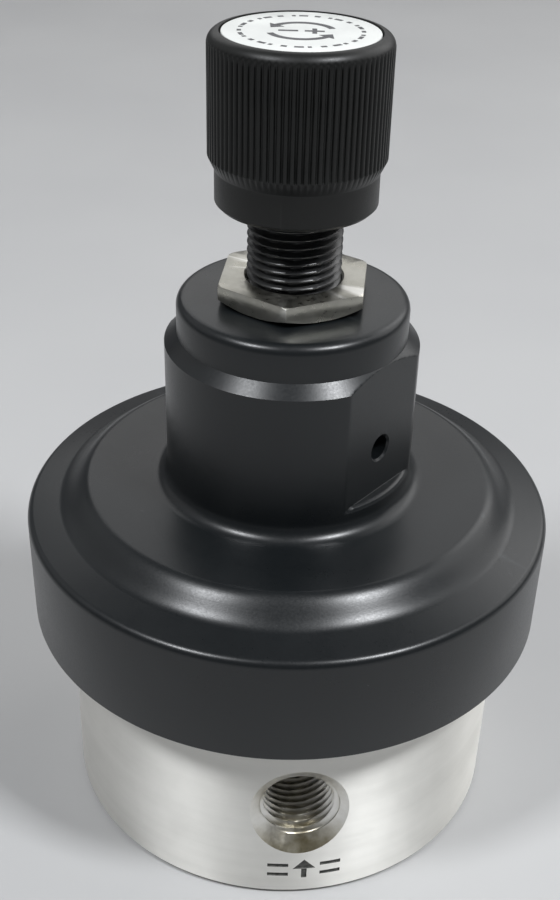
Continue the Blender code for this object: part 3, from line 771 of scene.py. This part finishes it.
def make_screw(black):
    """The adjusting screw with its whole thread, and the cup for the ball in its lower end."""
    depth = 0.86 * MM
    low, high = SCREW_BOTTOM + 1.0 * MM, SCREW_TOP - 1.0 * MM
    rows = int((high - low) / THREAD_PITCH * 10)
    cup, ball_height = 4.27 * MM, 86.5 * MM
    outline = [(0.0, ball_height + cup)]
    for step in range(5):
        angle = math.radians(72.0 - 12.6 * step)
        outline.append((cup * math.cos(angle), ball_height + cup * math.sin(angle)))
    outline.append((SCREW_RADIUS - 1.0 * MM, SCREW_BOTTOM))
    outline += [(SCREW_RADIUS, height) for height in np.linspace(low, high, rows)]
    outline += [(SCREW_RADIUS - 1.0 * MM, SCREW_TOP), (0.0, SCREW_TOP)]

    def shape(radius, height, angles):
        if radius != SCREW_RADIUS:
            return np.full(len(angles), radius)
        crest = thread_profile(height / THREAD_PITCH - angles / (2 * math.pi))
        return radius - depth * (1.0 - crest)

    screw = revolved("adjusting_screw_thread", outline, 96, [black], shape=shape, sharp=50.0)
    return stands_for(screw, "adjusting_screw", "adjuster")


def hexagon_prism(name, across_flats, low, high, turn):
    """A hexagonal bar along Z. With turn 0 a corner faces -Y."""
    corner = across_flats / math.sqrt(3.0)
    outline = [(0.0, low), (corner, low), (corner, high), (0.0, high)]
    azimuths = turn + np.arange(6) * math.pi / 3
    return revolved(name, outline, azimuths, [])


def soften(thing, width, sharp):
    """Breaks every sharp edge by a small width, for good."""
    bevel = thing.modifiers.new("broken_edges", "BEVEL")
    bevel.width = width
    bevel.segments = 2
    bevel.limit_method = "ANGLE"
    bevel.angle_limit = math.radians(sharp)
    graph = bpy.context.evaluated_depsgraph_get()
    thing.data = bpy.data.meshes.new_from_object(thing.evaluated_get(graph))
    thing.modifiers.clear()
    thing.data.shade_smooth()
    thing.data.set_sharp_from_angle(angle=math.radians(35.0))
    return thing


def make_nut(plate):
    """A thin hexagon nut: crisp edges, corners turned off at 30 degrees, mostly underneath."""
    corner = 1.02 * NUT_ACROSS_FLATS / math.sqrt(3.0)
    hole = SCREW_RADIUS + 0.12 * MM
    edge = 0.35 * MM
    slant = math.tan(math.radians(30.0))
    outline = [
        (hole, NUT_BOTTOM + edge),
        (hole + edge, NUT_BOTTOM),
        (NUT_LOWER_FACE, NUT_BOTTOM),
        (corner, NUT_BOTTOM + (corner - NUT_LOWER_FACE) * slant),
        (corner, NUT_TOP - (corner - NUT_UPPER_FACE) * slant),
        (NUT_UPPER_FACE, NUT_TOP),
        (hole + edge, NUT_TOP),
        (hole, NUT_TOP - edge),
    ]
    nut = revolved("jam_nut_hexagon", outline, 120, [plate], closed=True)
    reach = 1.0 * MM
    bar = hexagon_prism("nut_bar", NUT_ACROSS_FLATS, NUT_BOTTOM - reach, NUT_TOP + reach, NUT_TURN)
    cut(nut, [bar], operation="INTERSECT")
    soften(nut, 0.14 * MM, 25.0)
    return stands_for(nut, "jam_nut", "lock")


RIBS = 84


def make_knob(plastic):
    """The knob: straight ribs that run out on a rounded top edge, and a plain collar."""
    bore = SCREW_RADIUS + 0.3 * MM
    recess = LABEL_RADIUS + 0.3 * MM
    recess_floor = LABEL_BOTTOM - 0.3 * MM
    depth = 0.40 * MM
    edge_foot = KNOB_TOP - KNOB_EDGE_RADIUS
    rib_top = KNOB_TOP - 1.3 * MM
    below = [
        (0.0, SCREW_TOP + 0.3 * MM),
        (bore, SCREW_TOP + 0.3 * MM),
        (bore, COLLAR_BOTTOM),
        (COLLAR_RADIUS - 0.7 * MM, COLLAR_BOTTOM, 0.15 * MM),
        (COLLAR_RADIUS, COLLAR_BOTTOM + 0.7 * MM, 0.2 * MM),
        (COLLAR_RADIUS, COLLAR_TOP - 0.6 * MM),
        (COLLAR_RADIUS, COLLAR_TOP, 0.5 * MM),
        (COLLAR_RADIUS + 0.5 * MM, COLLAR_TOP + 1.0 * MM),
        (KNOB_RADIUS, KNURL_BOTTOM, 0.4 * MM),
        (KNOB_RADIUS, 132.0 * MM),
        (KNOB_RADIUS, 138.0 * MM),
        (KNOB_RADIUS, edge_foot - 0.6 * MM),
    ]
    edge = [
        (
            KNOB_RADIUS - KNOB_EDGE_RADIUS * (1 - math.cos(turn)),
            edge_foot + KNOB_EDGE_RADIUS * math.sin(turn),
        )
        for turn in np.radians(np.linspace(0.0, 90.0, 13))
    ]
    above = [
        (recess + 0.1 * MM, KNOB_TOP),
        (recess, KNOB_TOP - 0.1 * MM),
        (recess, recess_floor),
        (0.0, recess_floor),
    ]
    pattern = np.array([0.0, 0.0, 0.06, 0.42, 0.92, 1.0, 0.92, 0.42, 0.06, 0.0])

    def shape(radius, height, angles):
        if not COLLAR_TOP < height < rib_top:
            return np.full(len(angles), radius)
        groove = pattern[np.arange(len(angles)) % len(pattern)] * depth
        upper = np.clip((rib_top - height) / (0.8 * MM), 0.0, 1.0)
        lower = np.clip((height - KNURL_BOTTOM + 0.3 * MM) / (0.5 * MM), 0.0, 1.0)
        return radius - groove * upper * lower

    outline = rounded(below, 4) + edge + above
    knob = revolved("knob_grip", outline, RIBS * len(pattern), [plastic], shape=shape, sharp=40.0)
    hole_radius, outside, inside = 2.6 * MM, 16.0 * MM, 6.0 * MM
    hole = [(0.0, outside), (hole_radius, outside), (hole_radius, inside), (0.0, inside)]
    cutter = revolved("set_screw_cutter", hole, 40, [])
    cutter.data.transform(outward(math.pi, SET_SCREW_HEIGHT))
    cut(knob, [cutter], 40.0)
    return stands_for(knob, "knob", "adjuster")


def make_label(film):
    outline = rounded(
        [
            (0.0, LABEL_BOTTOM),
            (LABEL_RADIUS, LABEL_BOTTOM),
            (LABEL_RADIUS, LABEL_TOP, 0.15 * MM),
            (8.0 * MM, LABEL_TOP),
            (0.0, LABEL_TOP),
        ]
    )
    label = revolved("knob_label_film", outline, 144, [film])
    return stands_for(label, "knob_label", "adjuster")


def flat_shape(bm, points, low, high):
    """A prism over a flat outline."""
    bottom = [bm.verts.new((x, y, low)) for x, y in points]
    top = [bm.verts.new((x, y, high)) for x, y in points]
    bm.faces.new(list(reversed(bottom)))
    bm.faces.new(top)
    for index in range(len(points)):
        after = (index + 1) % len(points)
        bm.faces.new((bottom[index], bottom[after], top[after], top[index]))


def ring_band(inner, outer, start, stop, steps=24):
    """Outline of part of a flat ring, angles in degrees from +X."""
    angles = [math.radians(start + (stop - start) * step / steps) for step in range(steps + 1)]
    band = [(outer * math.cos(a), outer * math.sin(a)) for a in angles]
    return band + [(inner * math.cos(a), inner * math.sin(a)) for a in reversed(angles)]


def make_label_print(ink, turn):
    """Generic print: two turning arrows with plus and minus signs inside a ring of dashes."""
    low, high = LABEL_TOP + 0.01 * MM, LABEL_TOP + 0.04 * MM
    bm = bmesh.new()
    for start in (20.0, 200.0):
        stop = start + 118.0
        flat_shape(bm, ring_band(4.5 * MM, 5.5 * MM, start, stop), low, high)
        tip = math.radians(stop + 22.0)
        base = math.radians(stop + 0.5)
        head = [
            (6.5 * MM * math.cos(base), 6.5 * MM * math.sin(base)),
            (5.0 * MM * math.cos(tip), 5.0 * MM * math.sin(tip)),
            (3.5 * MM * math.cos(base), 3.5 * MM * math.sin(base)),
        ]
        flat_shape(bm, head, low, high)
    bar, width = 1.5 * MM, 0.36 * MM
    plus = 2.0 * MM
    for x in (-plus, plus):
        flat_shape(bm, [(x - bar, -width), (x + bar, -width), (x + bar, width), (x - bar, width)], low, high)
    for sign in (-1, 1):
        near, far = sign * width * 1.05, sign * bar
        left, right = plus - width, plus + width
        corners = [(left, near), (right, near), (right, far), (left, far)]
        flat_shape(bm, corners if sign > 0 else list(reversed(corners)), low, high)
    dashes = 30
    for dash in range(dashes):
        start = 360.0 * dash / dashes
        length = (5.5, 8.5, 3.5)[dash % 3]
        flat_shape(bm, ring_band(9.1 * MM, 9.75 * MM, start, start + length, 3), low, high)
    bmesh.ops.recalc_face_normals(bm, faces=bm.faces)
    bmesh.ops.rotate(bm, verts=bm.verts, cent=(0, 0, 0), matrix=Matrix.Rotation(turn, 3, "Z"))
    mesh = bpy.data.meshes.new("knob_label_print")
    bm.to_mesh(mesh)
    bm.free()
    mesh.materials.append(ink)
    thing = bpy.data.objects.new("knob_label_print", mesh)
    bpy.context.scene.collection.objects.link(thing)
    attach(thing, "adjuster")


# ---------------------------------------------------------------- springs and carried-over nodes


def make_coil(name, node, radius, wire, active, lengths, wire_material):
    """A compression spring, as one or more lengths of coil that meet end to end.

    Each length is given as a pair of bodies; the bodies are not used.
    """
    low, high = low_z(node), high_z(node)
    closed_pitch = 2 * wire + 0.25 * MM
    active_pitch = (high - low - 2 * wire - 2 * closed_pitch) / active
    turns = active + 2
    per_turn, ring = 40, 14
    count = int(turns * per_turn)

    def centre_height(index):
        turn = turns * index / count
        first, last = min(turn, 1.0), max(turn - 1 - active, 0.0)
        return low + wire + (first + last) * closed_pitch + (turn - first - last) * active_pitch

    for part, (lower_body, upper_body) in enumerate(lengths):
        start, stop = (count * place // len(lengths) for place in (part, part + 1))
        vertices, faces = [], []
        for index in range(start, stop + 1):
            angle = 2 * math.pi * turns * index / count
            for side in range(ring):
                around = 2 * math.pi * side / ring
                away = radius + wire * math.cos(around)
                height = centre_height(index) + wire * math.sin(around)
                vertices.append((away * math.cos(angle), away * math.sin(angle), height))
        rows = stop - start
        for row in range(rows):
            for side in range(ring):
                after = (side + 1) % ring
                here, there = row * ring, (row + 1) * ring
                faces.append((here + side, here + after, there + after, there + side))
        faces.append(tuple(range(ring)))
        faces.append(tuple(rows * ring + side for side in reversed(range(ring))))
        coil = object_of(f"{name}_{part + 1}", vertices, faces, [wire_material], 50.0)
        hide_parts(node)
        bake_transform(coil)


def make_diaphragm(rubber):
    """The diaphragm: a sheet, flat at its middle and at its rim, with a raised roll between."""
    thickness, roll_height = 0.9 * MM, 2.2 * MM
    hole, roll_start, roll_end = 4.3 * MM, 26.2 * MM, 33.6 * MM
    bottom, rim = low_z("diaphragm"), radius_of("diaphragm")
    lower = [(hole, bottom), (15.0 * MM, bottom)]
    for share in np.linspace(0.0, 1.0, 17):
        rise = roll_height * math.sin(math.pi * share) ** 2
        lower.append((roll_start + (roll_end - roll_start) * share, bottom + rise))
    lower += [(37.0 * MM, bottom), (rim, bottom)]
    upper = [(radius, height + thickness) for radius, height in reversed(lower)]
    piece = revolved("diaphragm_sheet", lower + upper, 120, [rubber], closed=True)
    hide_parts("diaphragm")
    # each point is laid out along X by its radius meanwhile
    places = [vertex.co.copy() for vertex in piece.data.vertices]
    for vertex, place in zip(piece.data.vertices, places):
        vertex.co = (place.xy.length, 0.0, place.z)
    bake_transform(piece)
    for vertex, place in zip(piece.data.vertices, places):
        vertex.co = place


def refinish(finishes):
    for node, material in finishes.items():
        slots = NODES[node].data.materials
        slots.clear()
        slots.append(material)


# ---------------------------------------------------------------- stage, light, camera

CAMERA_AZIMUTH = math.radians(-5.5)
CAMERA_DISTANCE = 192.4 * MM
CAMERA_HEIGHT = 191.6 * MM
CAMERA_PITCH = math.radians(32.22)
CAMERA_YAW = math.radians(-0.47)
CAMERA_ROLL = math.radians(1.5)
CAMERA_LENS = 49.94  # in millimetres, for the sensor below
SENSOR_WIDTH = 36.0
LIT_HEIGHT = 70.0 * MM  # the lights face the axis at this height


def make_camera():
    data = bpy.data.cameras.new("camera")
    data.lens = CAMERA_LENS
    data.sensor_width = SENSOR_WIDTH
    data.clip_start = 0.01
    camera = bpy.data.objects.new("camera", data)
    bpy.context.scene.collection.objects.link(camera)
    pitch, yaw, roll = CAMERA_PITCH, CAMERA_YAW, CAMERA_ROLL
    ahead = Vector((math.sin(yaw) * math.cos(pitch), math.cos(yaw) * math.cos(pitch), -math.sin(pitch)))
    right = Vector((math.cos(yaw), -math.sin(yaw), 0.0))
    up = right.cross(ahead)
    level_right = right * math.cos(roll) + up * math.sin(roll)
    level_up = up * math.cos(roll) - right * math.sin(roll)
    turn = Matrix((level_right, level_up, -ahead)).transposed().to_4x4()
    place = Matrix.Translation((0.0, -CAMERA_DISTANCE, CAMERA_HEIGHT)) @ turn
    camera.matrix_world = Matrix.Rotation(CAMERA_AZIMUTH, 4, "Z") @ place
    bpy.context.scene.camera = camera


def area_light(name, azimuth, elevation, distance, size, power, colour=(1.0, 1.0, 1.0)):
    """A rectangular lamp. Its azimuth, in degrees, is 0 at -Y and positive towards +X."""
    data = bpy.data.lights.new(name, "AREA")
    data.shape = "RECTANGLE"
    data.size, data.size_y = size
    data.energy = power
    data.color = colour
    light = bpy.data.objects.new(name, data)
    bpy.context.scene.collection.objects.link(light)
    azimuth, elevation = math.radians(azimuth), math.radians(elevation)
    away = Vector(
        (
            math.sin(azimuth) * math.cos(elevation),
            -math.cos(azimuth) * math.cos(elevation),
            math.sin(elevation),
        )
    )
    target = Vector((0.0, 0.0, LIT_HEIGHT))
    light.location = target + away * distance
    light.rotation_euler = away.to_track_quat("Z", "Y").to_euler()


def make_floor():
    n = Nodes("pale_floor")
    cloud = n.noise(7.0, 3.0)
    colour = n.mix(n.remap(cloud, 0.3, 0.7, 0.0, 1.0), (0.42, 0.42, 0.42), (0.45, 0.45, 0.447))
    material = n.finish(colour, n.remap(cloud, 0.3, 0.7, 0.55, 0.65), specular=0.3)
    top, bottom, radius = -0.05 * MM, -8.0 * MM, 2.5
    outline = [(0.0, top), (0.5, top), (radius, top), (radius, bottom), (0.0, bottom)]
    floor = revolved("floor", outline, 64, [material])


def make_light():
    world = bpy.data.worlds.new("studio")
    bpy.context.scene.world = world
    world.use_nodes = True
    background = world.node_tree.nodes["Background"]
    background.inputs["Color"].default_value = (0.93, 0.95, 1.0, 1.0)
    background.inputs["Strength"].default_value = 0.14
    cool = (0.95, 0.97, 1.0)
    area_light("front_left_light", -57.0, 55.0, 1.0, (0.16, 0.16), 5.8, cool)
    area_light("front_right_light", 49.0, 56.0, 1.0, (0.16, 0.16), 8.4, cool)
    area_light("left_light", -112.0, 30.0, 1.2, (1.0, 0.8), 0.8)
    area_light("right_light", 112.0, 30.0, 1.2, (1.0, 0.8), 3.8)
    area_light("rear_light", 165.0, 38.0, 1.4, (2.2, 1.0), 7.0)


# ---------------------------------------------------------------- everything


def main():
    make_camera()
    make_light()
    make_floor()
    steel = turned_steel("stainless_side")
    black = anodised()
    oxide_black = oxide()
    plate = nickel()
    wire = drawn_wire()
    rubber = moulded_rubber()
    polymer = turned_polymer()
    inner_steel = turned_steel("stainless_inner", (0.60, 0.59, 0.56), (0.48, 0.47, 0.44))
    make_body(steel, dark_mark(), stained_steel())
    make_bonnet(black)
    make_screw(oxide_black)
    make_nut(plate)
    make_knob(knob_plastic())
    make_label(label_film())
    make_label_print(label_ink(), CAMERA_AZIMUTH)
    range_lengths = [("diaphragm_stack", "root"), ("root", "thrust_carriage")]
    make_coil("range_spring_coil", "range_spring", 12.0 * MM, 1.2 * MM, 2.25, range_lengths, wire)
    make_coil("valve_spring_coil", "valve_spring", 3.5 * MM, 0.4 * MM, 5.0, [("root", "valve")], wire)
    make_diaphragm(rubber)
    refinish(
        {
            "body_seal": rubber,
            "seat_seal": rubber,
            "slip_ring": inner_steel,
            "seat_retainer": inner_steel,
            "pusher_plate": inner_steel,
            "backing_plate": inner_steel,
            "poppet": inner_steel,
            "valve_seat": polymer,
            "poppet_guide": polymer,
            "inlet_filter": sintered_metal(),
            "stack_washer": plate,
            "stack_nut": plate,
            "spring_button": plate,
            "thrust_ball": plate,
            "knob_set_screw": oxide_black,
        }
    )
    bpy.context.scene.view_settings.view_transform = "Standard"


main()
